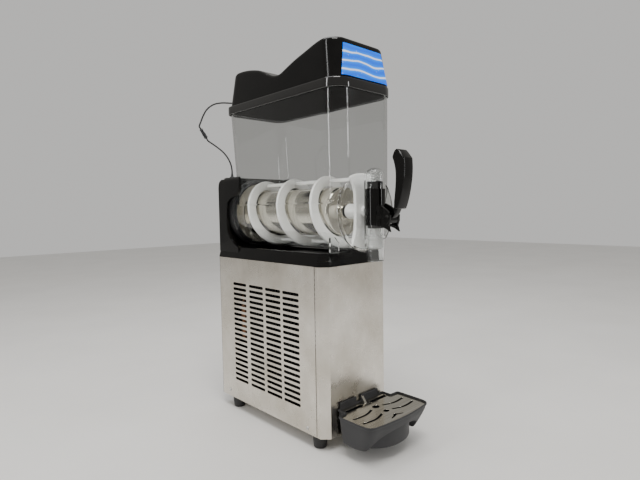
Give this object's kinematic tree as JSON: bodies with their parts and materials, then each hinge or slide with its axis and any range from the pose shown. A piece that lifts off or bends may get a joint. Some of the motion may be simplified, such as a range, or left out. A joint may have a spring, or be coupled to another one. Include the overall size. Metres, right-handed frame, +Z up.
{
  "type": "slush machine",
  "caption": "Counter-top frozen drink machine: steel cabinet, clear bowl over a freezing cylinder with spiral, lit hood, lever tap and drip tray.",
  "frame": {"origin": "centre of the footprint box, leads left out, at the bottom of the feet", "axes": "+Z up, front with the tap towards -Y, +X to the right-hand side of a person facing the front"},
  "size_m": [0.2376, 0.5583, 0.8427],
  "materials": {
    "panel_steel": "brushed stainless sheet",
    "polished_steel": "polished stainless",
    "black_gloss": "gloss moulded",
    "black_matt": "fine grained moulding",
    "rubber": "moulded rubber",
    "clear": "clear polycarbonate",
    "white": "food grade moulding",
    "copper": "drawn copper tube",
    "black_paint": "black painted sheet",
    "motor_metal": "cast and machined",
    "sign_blue": "printed translucent panel"
  },
  "bodies": {
    "cabinet": {"base_pan": "panel_steel", "foot_front_left": "rubber", "foot_front_right": "rubber", "foot_rear_left": "rubber", "foot_rear_right": "rubber", "side_panel_left": "panel_steel", "side_panel_right": "panel_steel", "front_panel": "panel_steel", "rear_panel": "black_paint", "mains_inlet": "black_matt", "tray_hook": "polished_steel", "screw_left_front": "polished_steel", "screw_left_rear": "polished_steel", "screw_right_front": "polished_steel", "screw_right_rear": "polished_steel", "compressor": "black_paint", "condenser": "motor_metal", "fan_shroud": "black_paint", "fan_motor": "motor_metal", "filter_drier": "copper", "suction_pipe": "copper", "liquid_pipe": "copper", "switch_plate": "black_matt", "control_box": "panel_steel", "top_housing": "black_gloss", "column_back_cover": "black_matt", "freezing_cylinder": "polished_steel", "bowl_gasket": "rubber", "gear_motor": "motor_metal", "motor_plate": "panel_steel", "shaft_seal": "rubber", "lamp_lead_lower": "black_matt", "lead_socket": "black_matt"},
    "auger_drive": {"auger": "white", "auger_nut": "white", "drive_shaft": "polished_steel"},
    "bowl": {"bowl": "clear", "tap_housing": "black_gloss", "lever_pin": "polished_steel", "tap_spring": "polished_steel"},
    "lid": {"lid_base": "black_gloss", "lid_hood": "black_gloss", "sign_panel": "sign_blue", "lamp_board": "white", "lid_gland": "rubber", "lamp_lead_upper": "black_matt", "lead_plug": "black_matt"},
    "tap_handle": {"tap_handle": "black_gloss"},
    "tap_piston": {"tap_piston": "black_matt", "piston_seal": "rubber"},
    "drip_tray": {"drip_tray": "black_matt"},
    "drip_grid": {"drip_grid": "polished_steel"},
    "fan": {"fan_blade": "black_matt"},
    "switch_power": {"switch_power": "black_matt"},
    "switch_mix": {"switch_mix": "black_matt"},
    "switch_lamp": {"switch_lamp": "black_matt"}
  },
  "joints": [
    {"name": "auger_spin", "type": "hinge", "parent": "cabinet", "child": "auger_drive", "pos_m": [0, 0, 0.497], "axis": [0, 1, 0], "continuous": true},
    {"name": "bowl_slide", "type": "slide", "parent": "cabinet", "child": "bowl", "axis": [0, -1, 0], "range_m": [0, 0.38]},
    {"name": "lid_lift", "type": "slide", "parent": "bowl", "child": "lid", "axis": [0, 0, 1], "range_m": [0, 0.12]},
    {"name": "tap_handle_pull", "type": "hinge", "parent": "bowl", "child": "tap_handle", "pos_m": [0, -0.22007, 0.48], "axis": [1, 0, 0], "range_deg": [0, 28], "stiffness_Nm_per_rad": 1.2, "springref_deg": -14.32},
    {"name": "tap_piston_lift", "type": "slide", "parent": "bowl", "child": "tap_piston", "axis": [0, 0, 1], "range_m": [0, 0.0155], "deforming": ["tap_spring"]},
    {"name": "tray_lift", "type": "slide", "parent": "cabinet", "child": "drip_tray", "axis": [0, 0, 1], "range_m": [0, 0.06]},
    {"name": "grid_lift", "type": "slide", "parent": "drip_tray", "child": "drip_grid", "axis": [0, 0, 1], "range_m": [0, 0.1]},
    {"name": "fan_spin", "type": "hinge", "parent": "cabinet", "child": "fan", "pos_m": [-0.051, 0.03193, 0.158], "axis": [1, 0, 0], "continuous": true},
    {"name": "switch_power_rock", "type": "hinge", "parent": "cabinet", "child": "switch_power", "pos_m": [0.0945, -0.03907, 0.354], "axis": [0, 0, 1], "range_deg": [0, 16]},
    {"name": "switch_mix_rock", "type": "hinge", "parent": "cabinet", "child": "switch_mix", "pos_m": [0.0945, -0.00307, 0.354], "axis": [0, 0, 1], "range_deg": [0, 16]},
    {"name": "switch_lamp_rock", "type": "hinge", "parent": "cabinet", "child": "switch_lamp", "pos_m": [0.0945, 0.03293, 0.354], "axis": [0, 0, 1], "range_deg": [0, 16]}
  ],
  "couplings": [
    {"joint": "tap_piston_lift", "follows": "tap_handle_pull", "m_per_rad": 0.0305}
  ]
}
